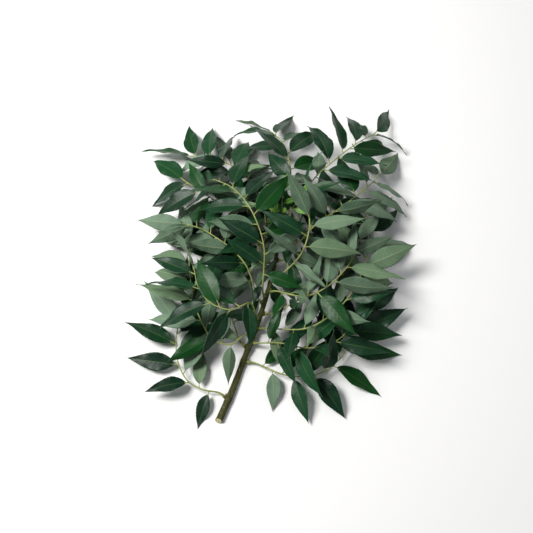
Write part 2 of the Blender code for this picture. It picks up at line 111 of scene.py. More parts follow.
# Each frond, from frond_01 on: where its foot is on the stem (0 cut end, 1 tip), the points that its rachis
# passes through, +1 if its upper side is up or -1 if its underside is, and its bank in degrees at both ends.
FRONDS = [
    (0.115, [(-80, 5, 8), (-96, 14, 9), (-107, 34, 8), (-110, 63, 7), (-104, 93, 6)], 1, (-8, -4)),
    (0.32, [(6, 20, 9), (36, 20, 10), (62, 37, 9), (79, 64, 8), (87, 94, 6)], 1, (8, 4)),
    (0.388, [(-51, 80, 10), (-66, 108, 11), (-72, 141, 10), (-67, 175, 8), (-54, 204, 6)], 1, (-6, 6)),
    (0.418, [(1, 51, 21), (28, 45, 24), (54, 51, 23), (77, 69, 18)], 1, (6, -4)),
    (0.449, [(-52, 49, 23), (-70, 54, 27), (-83, 74, 30), (-92, 101, 30), (-97, 133, 26), (-99, 164, 18)], -1,
     (10, -14)),
    (0.5, [(26, 65, 27), (51, 77, 32), (74, 101, 34), (90, 133, 32), (98, 168, 27), (95, 200, 19)],
     -1, (-6, 10)),
    (0.543, [(-32, 86, 48), (-50, 76, 57), (-70, 82, 59), (-84, 101, 53), (-90, 124, 43)], 1, (4, 10)),
    (0.578, [(34, 112, 13), (54, 141, 11), (62, 175, 9), (58, 209, 7)], 1, (6, -6)),
    (0.629, [(-35, 127, 44), (-49, 144, 47), (-67, 160, 43), (-86, 175, 35), (-103, 185, 24)],
     -1, (12, -10)),
    (0.664, [(-17, 143, 58), (-24, 166, 69), (-36, 190, 70), (-52, 211, 62), (-70, 226, 50)], 1, (8, -8)),
    (0.699, [(26, 94, 46), (46, 102, 49), (63, 118, 47), (77, 139, 41), (84, 160, 32)], -1, (-10, 12)),
    (0.75, [(20, 133, 61), (28, 151, 69), (30, 175, 67), (25, 201, 59), (16, 228, 47)], -1, (-12, 8)),
    (0.81, [(-34, 170, 50), (-58, 192, 50), (-83, 214, 42), (-106, 236, 28)], 1, (10, -12)),
    (0.862, [(38, 172, 52), (64, 191, 52), (90, 216, 43), (113, 243, 28)], -1, (-8, 10)),
    (0.901, [(-20, 206, 52), (-38, 231, 50), (-59, 252, 41), (-80, 267, 26), (-100, 276, 12)], 1, (8, -8)),
    (0.935, [(11, 184, 33), (13, 216, 43), (11, 250, 44), (4, 281, 34), (-7, 304, 18)], 1, (-4, 8)),
    (0.966, [(33, 220, 52), (60, 250, 50), (87, 277, 40), (111, 300, 24)], 1, (6, 8)),
    (0.838, [(-21, 168, 27), (-36, 203, 21), (-48, 238, 14), (-56, 270, 9)], 1, (4, -6)),
]
SHOOT_STRAIGHT = 5.0
SHOOT_ROUTE = [(1, 9, 10), (2, 12, 21)]
SHOOT_RADII = (1.6, 0.8)
SHOOT_SIDES, SHOOT_STEP = 6, 5.0
YOUNG_RACHIS_RADII = (0.8, 0.5)
YOUNG_SPACING, YOUNG_BARE = 9.0, 8.0
YOUNG_BLADE_LENGTH = 20.0
YOUNG_FRONDS = [
    ("young_left", 0.50, [(-6, 6, 8), (-13, 15, 15), (-18, 27, 19)]),
    ("young_right", 0.72, [(7, 6, 7), (14, 13, 13), (21, 23, 16)]),
    ("young_middle", 0.95, [(0, 5, 8), (0, 12, 16), (2, 22, 22)]),
]


# ---- The part's layout rule, as in its source ----
LINE_STEPS = 16  # of a smooth line from one given point to the next
HALF_STRETCH = 0.8  # of a route, on either side of a point, gives its direction there


def smooth_line(points):
    """Points close together on a centripetal Catmull-Rom curve through the given ones."""
    given = [Vector(p) for p in points]
    given = [2 * given[0] - given[1], *given, 2 * given[-1] - given[-2]]
    line = []
    for a, b, c, d in zip(given, given[1:], given[2:], given[3:]):
        t1 = (b - a).length ** 0.5
        t2 = t1 + (c - b).length ** 0.5
        t3 = t2 + (d - c).length ** 0.5
        for i in range(LINE_STEPS):
            t = t1 + (t2 - t1) * i / LINE_STEPS
            ab = a.lerp(b, t / t1)
            bc = b.lerp(c, (t - t1) / (t2 - t1))
            cd = c.lerp(d, (t - t2) / (t3 - t2))
            start, end = ab.lerp(bc, t / t2), bc.lerp(cd, (t - t1) / (t3 - t1))
            line.append(start.lerp(end, (t - t1) / (t2 - t1)))
    return [*line, given[-2]]


class Route:
    """A smooth line, read by the distance along it."""

    def __init__(self, points):
        self.line = smooth_line(points)
        self.far = [0.0]
        for a, b in zip(self.line, self.line[1:]):
            self.far.append(self.far[-1] + (b - a).length)
        self.length = self.far[-1]

    def point(self, distance):
        distance = min(max(distance, 0.0), self.length)
        i = 1
        while self.far[i] < distance and i < len(self.far) - 1:
            i += 1
        before, after = self.far[i - 1], self.far[i]
        return self.line[i - 1].lerp(self.line[i], (distance - before) / (after - before))

    def along(self, distance):
        return (self.point(distance + HALF_STRETCH) - self.point(distance - HALF_STRETCH)).normalized()


def between(pair, share):
    return pair[0] + (pair[1] - pair[0]) * share


def evenly(length, step):
    count = max(3, round(length / step) + 1)
    return [length * i / (count - 1) for i in range(count)]


def shell(rings):
    """The closed surface over these rings, to be tested against others."""
    count = len(rings[0])
    points = [p for ring in rings for p in ring]
    faces = [tuple(reversed(range(count)))]
    for k in range(len(rings) - 1):
        for i in range(count):
            a, b = k * count + i, k * count + (i + 1) % count
            c, d = b + count, a + count
            faces += [(a, b, c), (a, c, d)] if i % 2 == 0 else [(a, b, d), (b, c, d)]
    faces.append(tuple(range(len(points) - count, len(points))))
    return BVHTree.FromPolygons(points, faces)


def circle(centre, axis, radius, sides):
    first = (UP - axis * axis.z).normalized()
    second = axis.cross(first)
    turn = 2 * math.pi / sides
    return [centre + radius * (first * math.cos(i * turn) + second * math.sin(i * turn)) for i in range(sides)]


def tube(route, places, radius_at, sides):
    return [circle(route.point(d), route.along(d), radius_at(d), sides) for d in places]


def above_table(height):
    """The height at which the table holds what would hang at this height without it."""
    over = (height - FLOOR_HEIGHT) / FLOOR_SOFTNESS
    return FLOOR_HEIGHT + FLOOR_SOFTNESS * (max(over, 0.0) + math.log1p(math.exp(-abs(over))))


class Leaflet:
    """One leaflet. Its blade is read by u, from 0 at its base to 1 at its point, and v, from -1 at one edge
    over 0 at the midrib to 1 at the other edge. normal leaves its upper side."""

    def __init__(self, root, ahead, normal, length, chance, loose, side):
        self.root = root
        self.length = length
        down = -1 if normal.z > 0 else 1
        yaw = chance.gauss(0, YAW) * loose
        pitch = HANG * down + chance.gauss(0, PITCH) * loose
        roll = chance.gauss(0, ROLL) * loose
        ahead = Matrix.Rotation(math.radians(yaw), 3, normal) @ ahead.normalized()
        across = normal.cross(ahead).normalized()
        self.ahead = Matrix.Rotation(math.radians(-pitch), 3, across) @ ahead
        self.across = Matrix.Rotation(math.radians(roll), 3, self.ahead) @ across
        self.normal = self.ahead.cross(self.across).normalized()
        self.width = length * BLADE_SLENDERNESS * chance.uniform(*WIDTH_VARIES)
        self.bend = math.radians(chance.uniform(*BEND)) * (1 if self.normal.z > 0 else -1)
        self.twist = math.radians(chance.gauss(0, TWIST))
        self.fold = chance.uniform(*FOLD)
        self.wave = length * chance.uniform(*WAVE_HEIGHT)
        self.phase = chance.uniform(0, 2 * math.pi)
        self.lean = side * chance.uniform(*SIDEWAYS)
        self.narrow_side = side or 1
        self.stalk = PETIOLULE_LENGTH * length / BLADE_LENGTH + PETIOLULE_ROOT

    def outline(self, u):
        if u < WIDEST_AT:
            away, (inner, outer) = (WIDEST_AT - u) / WIDEST_AT, BASE_ROUNDING
        else:
            away, (inner, outer) = (u - WIDEST_AT) / (1 - WIDEST_AT), POINT_DRAWING
        return (1 - away**inner) ** outer

    def midrib(self, u):
        """The midrib's point at u, and the blade's directions across and normal to it there."""
        angle = self.bend * u
        forward = self.stalk + self.length * math.sin(angle) / self.bend
        drop = self.length * (1 - math.cos(angle)) / self.bend
        place = self.root + self.ahead * forward - self.normal * drop
        place = place + self.across * (self.lean * self.length * u * u)
        ahead = self.ahead * math.cos(angle) - self.normal * math.sin(angle)
        across = Matrix.Rotation(self.twist * u, 3, ahead) @ self.across
        return place, across, ahead.cross(across)

    def point(self, u, v, lift=0.0, margin=0.0):
        """A point of the blade, lifted off its middle surface and moved out past its edge."""
        place, across, normal = self.midrib(u)
        oblique = 1 - OBLIQUENESS * (1 - u) ** 3 if v * self.narrow_side > 0 else 1
        half = self.width / 2 * self.outline(u) * oblique
        rise = self.fold * half * v * v / (abs(v) + FOLD_ROUNDING)
        phase = self.phase + (WAVES_APART if v > 0 else 0)
        rise += self.wave * math.sin(2 * math.pi * WAVES * u + phase) * v * v
        edge = v * half + (margin if v > 0 else -margin if v < 0 else 0)
        spot = place + across * edge + normal * rise
        spot.z = above_table(spot.z)
        return spot + normal * lift

    def lowest(self):
        return min(self.midrib(u)[0].z for u in (0.3, 0.6, 1.0))

    def stalk_rings(self, radius):
        up, out = self.normal * radius, self.across * radius
        ends = [self.root, self.root + self.ahead * (self.stalk + PETIOLULE_OVERLAP * self.length)]
        return [[p - out, p - up, p + out, p + up] for p in ends]

    def solid_points(self):
        points = [p for ring in self.stalk_rings(PETIOLULE_RADIUS) for p in ring]
        for u in BLADE_STATIONS:
            half = BLADE_THICKNESS / 2 * (POINT_THINNING if u > NEAR_POINT else 1)
            points += [self.point(u, -1), self.point(u, 0, -half), self.point(u, 1), self.point(u, 0, half)]
        return points + [self.point(1, 0)]

    def shells(self):
        """Thicker, wider stand-ins for the blade and its stalk."""
        thick = BLADE_THICKNESS / 2 + CLEARANCE
        rings = []
        for u in GUARD_STATIONS:
            under = [self.point(u, v, -thick, CLEARANCE) for v in (-1, 0, 1)]
            over = [self.point(u, v, thick, CLEARANCE) for v in (1, 0, -1)]
            rings.append(under + over)
        return shell(rings), shell(self.stalk_rings(PETIOLULE_RADIUS + CLEARANCE / 2))


class Frond:
    """One compound leaf: its rachis's route, and the place and size of each leaflet."""

    def __init__(self, name, points, face, bank, radii, bare, spacing, blade_length):
        self.name = name
        self.route = Route(points)
        self.face = face
        self.bank = bank
        self.radii = radii
        self.bare = bare
        self.blade_length = blade_length
        leafy = self.route.length - bare - END_LEAFLET_SPACING * spacing
        self.count = max(3, round(leafy / spacing) + 1)
        self.spacing = leafy / (self.count - 1)
        self.places = [bare * share for share in BARE_RINGS]
        self.places += [bare + self.spacing * (number + 0.5) for number in range(self.count - 1)]
        self.places.append(self.route.length)

    def radius(self, distance):
        foot = max(0.0, 1 - distance / BASE_LENGTH) ** 2 if self.radii == RACHIS_RADII else 0
        return between(self.radii, distance / self.route.length) + (BASE_RADIUS - self.radii[0]) * foot

    def rings(self, extra=0.0):
        return tube(self.route, self.places, lambda d: self.radius(d) + extra, RACHIS_SIDES)

    def axis(self, distance):
        after = next(i for i, place in enumerate(self.places) if place >= distance)
        start, end = self.places[after - 1], self.places[after]
        return self.route.point(start).lerp(self.route.point(end), (distance - start) / (end - start))

    def facing(self, distance):
        along = self.route.along(distance)
        up = (UP - along * along.z).normalized()
        bank = between(self.bank, distance / self.route.length)
        return Matrix.Rotation(math.radians(bank), 3, along) @ up * self.face

    def leaflet(self, number, loose, scale, chance):
        share = number / self.count
        distance = self.bare + number * self.spacing
        side = 1 if number % 2 == 0 else -1
        spread = math.radians(between(SPREAD, share))
        size = FOOT_LEAFLET + (1 - FOOT_LEAFLET) * math.sin(math.pi / 2 * min(1.0, share / FULL_SIZE_FROM))
        size -= LESSENING * max(0.0, share - LESSENING_FROM)
        if number == self.count:
            distance, side, spread, size = self.route.length - END_ROOT, 0, 0, 1
        along, normal = self.route.along(distance), self.facing(distance)
        ahead = along * math.cos(spread) + normal.cross(along) * side * math.sin(spread)
        length = self.blade_length * scale * size * chance.uniform(*LENGTH_VARIES)
        made = Leaflet(self.axis(distance), ahead, normal, length, chance, loose, side)
        made.distance = distance
        made.start = self.route.point(distance)
        return made

    def grow(self, others):
        """The leaflets, each drawn again, more loosely and smaller, until it is clear of the others."""
        own = shell(self.rings(OWN_CLEARANCE))
        leaflets = []
        for number in range(self.count + 1):
            for attempt in range(TRIES):
                chance = random.Random(f"{self.name} {number} {attempt}")
                loose = LOOSE_AT_FIRST + attempt / LOOSER_OVER
                leaflet = self.leaflet(number, loose, SHRINK ** (attempt // SHRINK_EVERY), chance)
                blade, stalk = leaflet.shells()
                clear = leaflet.lowest() > FLOOR_HEIGHT - DEEPEST_PRESS
                clear = clear and (number == self.count or not blade.overlap(own))
                if clear and not any(blade.overlap(other) or stalk.overlap(other) for other in others):
                    others += [blade, stalk]
                    leaflets.append(leaflet)
                    break
        return leaflets


def stem_radius(stem, distance):
    radius = between(STEM_RADII, distance / stem.length)
    for share, *_ in FRONDS:
        away = abs(distance - share * stem.length)
        radius += NODE_SWELLING * max(0.0, 1 - away / NODE_REACH)
    return radius


def stem_rings(stem):
    rings = tube(stem, evenly(stem.length, STEM_STEP), lambda d: stem_radius(stem, d), STEM_SIDES)
    cut, along = stem.point(0), stem.along(0)
    rings[0] = [p + along * (p - cut).z * math.tan(CUT_SLANT) for p in rings[0]]
    for ring in rings:
        for p in ring:
            p.z = max(p.z, 0.0)
    return rings


def foot_of(stem, share, first):
    """The stem's point there, the way out towards first, and how far out the frond's foot is."""
    distance = share * stem.length
    centre, along = stem.point(distance), stem.along(distance)
    towards = (Vector(first) - centre).normalized()
    away = (towards - along * towards.dot(along)).normalized()
    lean = LEAN_TO_TIP * min(1.0, max(0.0, 0.5 + towards.dot(along)))
    out = (away + along * lean).normalized()
    cleared = stem_radius(stem, distance) + JOINT_GAP + BASE_RADIUS * out.dot(along)
    return centre, out, cleared / out.dot(away) + FOOT_MARGIN


def shoot_rings(shoot, extra=0.0):
    def radius(distance):
        return between(SHOOT_RADII, distance / shoot.length) + extra

    return tube(shoot, evenly(shoot.length, SHOOT_STEP), radius, SHOOT_SIDES)


def young_shoot(stem):
    ahead = stem.along(stem.length)
    start = stem.point(stem.length) + ahead * JOINT_GAP
    shoot = Route([start, start + ahead * SHOOT_STRAIGHT] + [start + Vector(p) for p in SHOOT_ROUTE])
    sizes = (YOUNG_RACHIS_RADII, YOUNG_BARE, YOUNG_SPACING, YOUNG_BLADE_LENGTH)
    fronds = []
    for name, share, points in YOUNG_FRONDS:
        root = shoot.point(share * shoot.length)
        route = [root] + [root + Vector(p) for p in points]
        fronds.append(Frond(name, route, 1, (0, 0), *sizes))
    return shoot, fronds


def lay_out():
    """The stem, the fronds' feet, the fronds, the shoot, its fronds, and each frond's leaflets."""
    stem = Route(STEM_ROUTE)
    fronds, feet = [], []
    for number, (share, points, face, bank) in enumerate(FRONDS, 1):
        centre, out, reach = foot_of(stem, share, points[0])
        feet.append((share * stem.length, centre, out, reach))
        points = [centre + out * reach, centre + out * (reach + FOOT_LEAD), *points]
        name, sizes = f"frond_{number:02}", (RACHIS_RADII, BARE_STALK, LEAFLET_SPACING, BLADE_LENGTH)
        fronds.append(Frond(name, points, face, bank, *sizes))
    shoot, young_fronds = young_shoot(stem)
    guard = evenly(stem.length, GUARD_STEP)
    stem_tube = tube(stem, guard, lambda d: stem_radius(stem, d) + RACHIS_CLEARANCE, GUARD_SIDES)
    others = [shell(stem_tube), shell(shoot_rings(shoot, RACHIS_CLEARANCE))]
    rachises = {frond.name: shell(frond.rings(RACHIS_CLEARANCE)) for frond in fronds + young_fronds}
    grown = {}
    for frond in young_fronds + fronds:
        rest = others + [rachis for name, rachis in rachises.items() if name != frond.name]
        before = len(rest)
        grown[frond.name] = frond.grow(rest)
        others += rest[before:]
    return stem, feet, fronds, shoot, young_fronds, grown


def part_shift(stem, fronds, grown):
    """What the part adds to these millimetres so that its origin is under the middle of its box."""
    points = [p for ring in stem_rings(stem) for p in ring]
    for frond in fronds:
        points += [p for ring in frond.rings() for p in ring]
    for leaflets in grown.values():
        for leaflet in leaflets:
            points += leaflet.solid_points()
    middle = (np.min(points, 0) + np.max(points, 0)) / 2
    return np.array([-middle[0], -middle[1], 0.0])


# ---- Fine shapes ----
VEINS = 11.0  # pairs of side veins on a leaflet
VEIN_SLANT = (0.13, 0.06)  # how far a side vein runs ahead on its way to the edge, and how it curves
VEIN_RISE, FULL_RISE_AT = 0.16, 0.18  # of the longest blades between side veins, and where aside it is full
RIPPLES, RIPPLES_APART = 5.1, 2.6  # along an edge, and radians between those of the two edges
RIPPLE_HEIGHT = (0.003, 0.007)  # over the length
TEETH, TOOTH_HEIGHT = 12.5, 0.016  # low, rounded, along an edge, and their height over half the width
SHEET = 0.32  # thickness of a real blade
YOUNG_SHEET = SHEET * 0.8
EDGE_THINNING = 0.45
MIDRIB_WIDTH = 0.5
MIDRIB_GROOVE, MIDRIB_RIDGE = 0.10, 0.42  # on the upper side, and on the longest leaflets' underside
FINE_ROWS, YOUNG_ROWS = 40, 22  # of points along a blade
ROW_PLACES = (0.004, 0.03, 0.985)  # the first, the second and the last
TIP_REACH = 0.62  # of the point past the last row, in rows
FINE_COLUMNS = (0.07, 0.18, 0.33, 0.5, 0.68, 0.86, 1)  # on either side of the midrib
YOUNG_COLUMNS = (0.1, 0.35, 0.7, 1)
TURNED_OVER = 0.17  # share of the leaflets that are turned over on their stalks
PETIOLULE_RADII = (0.55, 0.68, 0.55, 0.5, 0.45, 0.2)
SLIMMER = 0.14  # how much finer a rachis is here than in its solid, past its foot
KNOT, KNOT_REACH = 0.16, 1.5  # how much and how near a leaflet a rachis thickens
UNEVEN = 0.05  # how much stalks vary in thickness
SET_BACK = 0.25  # how far a foot reaches back into its joint
UPPER, UNDER, STALK = 0, 1, 2  # the material slots of a frond
PLAIN_TINT = (0.5, 0.5)
ANY_PHASE = (0, 6.3)  # radians


def add_object(name, data):
    thing = bpy.data.objects.new(name, data)
    bpy.context.scene.collection.objects.link(thing)
    return thing


class Solid:
    """Points, faces, material slots, texture places and tints of one piece, gathered bit by bit."""

    def __init__(self):
        self.points, self.faces, self.slots, self.places, self.tints = [], [], [], [], []
        self.count = 0

    def add(self, points, faces, slot, places, tint=PLAIN_TINT):
        """slot is one material slot or a list of one for each face."""
        self.points.append(points)
        self.places.append(places)
        self.tints.append(np.tile(np.array(tint, float), (len(points), 1)))
        self.faces += [tuple(i + self.count for i in face) for face in faces]
        self.slots += [slot] * len(faces) if isinstance(slot, int) else slot
        self.count += len(points)

    def build(self, name, materials, shift):
        mesh = bpy.data.meshes.new(name)
        points = (np.concatenate(self.points) + shift) * MM
        mesh.from_pydata(points.tolist(), [], self.faces)
        for material in materials:
            mesh.materials.append(material)
        mesh.polygons.foreach_set("material_index", self.slots)
        mesh.polygons.foreach_set("use_smooth", [True] * len(self.faces))
        corners = np.empty(len(mesh.loops), int)
        mesh.loops.foreach_get("vertex_index", corners)
        for map_name, values in (("place", self.places), ("tint", self.tints)):
            layer = mesh.uv_layers.new(name=map_name)
            layer.data.foreach_set("uv", np.concatenate(values)[corners].astype(np.float32).ravel())
        mesh.uv_layers.active = mesh.uv_layers["place"]
        return add_object(name, mesh)


def grid(rows, columns, start=0, flip=False, closed=False):
    """Quads over a grid of points. closed joins the last column to the first."""
    faces = []
    for k in range(rows - 1):
        for i in range(columns if closed else columns - 1):
            a = start + k * columns + i
            b = start + k * columns + (i + 1) % columns
            quad = (a, b, b + columns, a + columns)
            faces.append(quad[::-1] if flip else quad)
    return faces


def vein_phase(u, v):
    """Whole numbers lie on side veins, which leave the midrib alternately."""
    aside = np.abs(v)
    slant = VEIN_SLANT[0] * aside, VEIN_SLANT[1] * aside * aside
    return (u - slant[0] - slant[1]) * VEINS + np.where(v > 0, 0.5, 0.0)


def blade_middle(leaf, chance, u, v):
    """The blade's middle surface and half its width: as Leaflet.point, with ripples, teeth and raised veins."""
    place, across, normal = np.array([leaf.midrib(share) for share in u]).swapaxes(0, 1)
    outline = np.array([leaf.outline(share) for share in u])[:, None]
    u, v = u[:, None], v[None, :]
    aside, right = np.abs(v), np.where(v > 0, 1.0, 0.0)
    oblique = np.where(v * leaf.narrow_side > 0, 1 - OBLIQUENESS * (1 - u) ** 3, 1.0)
    half = leaf.width / 2 * outline * oblique
    rise = leaf.fold * half * v * v / (aside + FOLD_ROUNDING)
    rise = rise + leaf.wave * np.sin(2 * np.pi * WAVES * u + leaf.phase + WAVES_APART * right) * v * v
    ripple = leaf.length * chance.uniform(*RIPPLE_HEIGHT)
    ripple = ripple * np.sin(2 * np.pi * RIPPLES * u + chance.uniform(*ANY_PHASE) + RIPPLES_APART * right)
    rise = rise + ripple * aside**2.5 * outline
    bulge = np.clip(aside / FULL_RISE_AT, 0, 1) * (1 - aside**3) * outline
    bulge = bulge * VEIN_RISE * leaf.length / BLADE_LENGTH
    rise = rise - bulge * np.cos(2 * np.pi * vein_phase(u, v))
    teeth = 1 + TOOTH_HEIGHT * np.sin(2 * np.pi * TEETH * u + chance.uniform(*ANY_PHASE) + right) * aside**6
    middle = place[:, None, :] + across[:, None, :] * (v * half * teeth)[:, :, None]
    middle = middle + normal[:, None, :] * rise[:, :, None]
    over = (middle[:, :, 2] - FLOOR_HEIGHT) / FLOOR_SOFTNESS
    middle[:, :, 2] = FLOOR_HEIGHT + FLOOR_SOFTNESS * (np.maximum(over, 0) + np.log1p(np.exp(-np.abs(over))))
    return middle, half


def add_blade(solid, leaf, chance, rows, columns, sheet, tint, turned_over):
    """The leaflet's blade: an upper and an under sheet, joined round the edge and at the point."""
    u = np.concatenate([ROW_PLACES[:1], np.linspace(*ROW_PLACES[1:], rows)])
    v = np.array([*(-share for share in reversed(columns)), 0, *columns])
    middle, half = blade_middle(leaf, chance, u, v)
    R, C = len(u), len(v)
    u, v = u[:, None], v[None, :]
    out = np.cross(np.gradient(middle, axis=0), np.gradient(middle, axis=1))
    out /= np.maximum(np.linalg.norm(out, axis=2, keepdims=True), 1e-9)
    thin = sheet / 2 * (1 - EDGE_THINNING * np.abs(v)) * np.ones_like(u)
    midrib = np.exp(-((v * half / MIDRIB_WIDTH) ** 2))
    groove = thin - MIDRIB_GROOVE * midrib * (1 - 0.5 * u)
    ridge = thin + MIDRIB_RIDGE * midrib * (1 - 0.8 * u) * leaf.length / BLADE_LENGTH
    top = middle + out * (ridge if turned_over else groove)[:, :, None]
    bottom = middle - out * (groove if turned_over else ridge)[:, :, None]
    upper, under = (UNDER, UPPER) if turned_over else (UPPER, UNDER)
    tip = middle[-1, C // 2] + (middle[-1, C // 2] - middle[-2, C // 2]) * TIP_REACH

    count = R * C
    faces = grid(R, C) + grid(R, C, count, flip=True)
    slots = [upper] * ((R - 1) * (C - 1)) + [under] * ((R - 1) * (C - 1))
    for k in range(R - 1):
        a, b = k * C, (k + 1) * C
        faces += [(a, b, count + b, count + a), (a + C - 1, count + a + C - 1, count + b + C - 1, b + C - 1)]
        slots += [UNDER, UNDER]
    last = (R - 1) * C
    for i in range(C - 1):
        faces += [(last + i, last + i + 1, 2 * count), (count + last + i + 1, count + last + i, 2 * count)]
        faces.append((i + 1, i, count + i, count + i + 1))
        slots += [upper, under, UNDER]
    faces += [(last, 2 * count, count + last), (last + C - 1, count + last + C - 1, 2 * count)]
    slots += [UNDER, UNDER]
    points = np.concatenate([top.reshape(-1, 3), bottom.reshape(-1, 3), tip[None, :]])
    places = np.stack([u + 0 * v, 0.5 + 0.5 * v + 0 * u], axis=2).reshape(-1, 2)
    solid.add(points, faces, slots, np.concatenate([places, places, [[1.0, 0.5]]]), tint)


def add_tube(solid, centres, radii, sides, slot, tint=PLAIN_TINT, lengths=None, squeeze=None):
    """A round tube through these centres, turned as little as it can be. squeeze(ring number, angles) scales
    its radii."""
    centres = np.array(centres, float)
    along = np.gradient(centres, axis=0)
    along /= np.linalg.norm(along, axis=1, keepdims=True)
    first = np.cross(along[0], (0.0, 0.0, 1.0))
    if np.linalg.norm(first) < 0.2:
        first = np.cross(along[0], (0.0, 1.0, 0.0))
    first /= np.linalg.norm(first)
    angles = np.linspace(0, 2 * np.pi, sides, endpoint=False)
    rings = []
    for k, (centre, axis) in enumerate(zip(centres, along)):
        first = first - axis * (first @ axis)
        first /= np.linalg.norm(first)
        second = np.cross(axis, first)
        radius = radii[k] * (squeeze(k, angles) if squeeze else np.ones(sides))[:, None]
        rings.append(centre + radius * (np.outer(np.cos(angles), first) + np.outer(np.sin(angles), second)))
    count = len(rings)
    lengths = np.arange(count) if lengths is None else lengths
    places = np.stack([np.repeat(lengths, sides), np.tile(angles / (2 * np.pi), count)], axis=1)
    ends = [tuple(reversed(range(sides))), tuple(range((count - 1) * sides, count * sides))]
    solid.add(np.concatenate(rings), grid(count, sides, closed=True) + ends, slot, places, tint)


def add_bud(solid, centre, axis, length, slot, tint):
    """A pointed egg that starts at centre and grows along axis."""
    steps = np.linspace(0, 1, 5)
    centres = [np.array(centre) + np.array(axis) * length * s for s in steps]
    radii = [(math.sin(math.pi * (0.12 + 0.86 * s)) ** 0.8) * (1 - 0.45 * s) for s in steps]
    add_tube(solid, centres, radii, 8, slot, tint)


def wobble(x, seed):
    """A smooth irregular wave of about -1 to 1."""
    chance = random.Random(seed)
    waves = [(chance.uniform(0.5, 1.0), chance.uniform(0.6, 2.6), chance.uniform(*ANY_PHASE)) for _ in range(4)]
    return sum(size * np.sin(rate * x + phase) for size, rate, phase in waves) / sum(size for size, *_ in waves)


def add_leaflet(solid, leaf, name, young):
    """A leaflet's blade, and its short stalk from inside the rachis to inside the blade."""
    chance = random.Random("looks " + name)
    tint = (chance.random(), chance.random())
    turned_over = not young and chance.random() < TURNED_OVER
    form = (YOUNG_ROWS, YOUNG_COLUMNS, YOUNG_SHEET) if young else (FINE_ROWS, FINE_COLUMNS, SHEET)
    add_blade(solid, leaf, chance, *form, tint, turned_over)
    start = np.array(leaf.start)
    base = np.array(leaf.root + leaf.ahead * leaf.stalk)
    centres = [start, start + (base - start) * 0.3, start + (base - start) * 0.65, base]
    centres += [leaf.point(0.025, 0, -0.12), leaf.point(0.07, 0, -0.25)]
    radii = np.array(PETIOLULE_RADII) * (0.5 + 0.5 * (leaf.length / BLADE_LENGTH))
    lengths = np.array([0.2, 0.25, 0.3, 0.4, 0.45, 0.5]) + leaf.distance / 10
    add_tube(solid, centres, radii, 8, STALK, (0.5, tint[1]), lengths)


def add_stalk(solid, route, distances, radii, sides, lead, far=0):
    """A stalk along a route, with its first ring set back by lead."""
    centres = [np.array(route.point(d)) for d in distances]
    centres[0] = centres[0] - np.array(route.along(0)) * lead
    add_tube(solid, centres, radii, sides, STALK, lengths=distances / 10 + far)


def add_frond(solid, frond, leaflets, step, sides, lead, young=False):
    distances = np.array(evenly(frond.route.length, step))
    nodes = np.array([leaf.distance for leaf in leaflets])
    radii = []
    for d in distances:
        near = np.exp(-(((d - nodes) / KNOT_REACH) ** 2)).max()
        radii.append((frond.radius(d) - SLIMMER * min(1.0, d / BASE_LENGTH)) * (1 + KNOT * near))
    radii = np.array(radii) * (1 + UNEVEN * wobble(distances * 0.6, frond.name))
    add_stalk(solid, frond.route, distances, radii, sides, lead)
    for number, leaf in enumerate(leaflets):
        add_leaflet(solid, leaf, f"{frond.name} {number}", young)


# ---- Materials ----
# Each side of a leaflet: its darkest, brightest and warmest tones, its midrib, its veins and its roughness.
LEAF_UPPER = ((0.0018, 0.0165, 0.0072), (0.0092, 0.053, 0.0195), (0.0040, 0.051, 0.0055),
              (0.060, 0.125, 0.038), (0.018, 0.075, 0.020), 0.36)
# The underside's darkest and brightest tones are partly its own and partly painted shade and painted light.
LEAF_UNDER = ((0.068, 0.120, 0.072), (0.148, 0.228, 0.154), (0.128, 0.210, 0.092),
              (0.235, 0.300, 0.162), (0.176, 0.255, 0.160), 0.6)
YOUNG_UPPER = ((0.06, 0.18, 0.022), (0.13, 0.28, 0.045), (0.15, 0.30, 0.038),
               (0.30, 0.42, 0.11), (0.21, 0.37, 0.07), 0.4)
YOUNG_UNDER = ((0.13, 0.24, 0.07), (0.20, 0.32, 0.11), (0.22, 0.33, 0.09),
               (0.32, 0.40, 0.15), (0.28, 0.40, 0.15), 0.55)
LEAF_SCALE = (51, 19, 90)  # of the textures along, across and from leaflet to leaflet


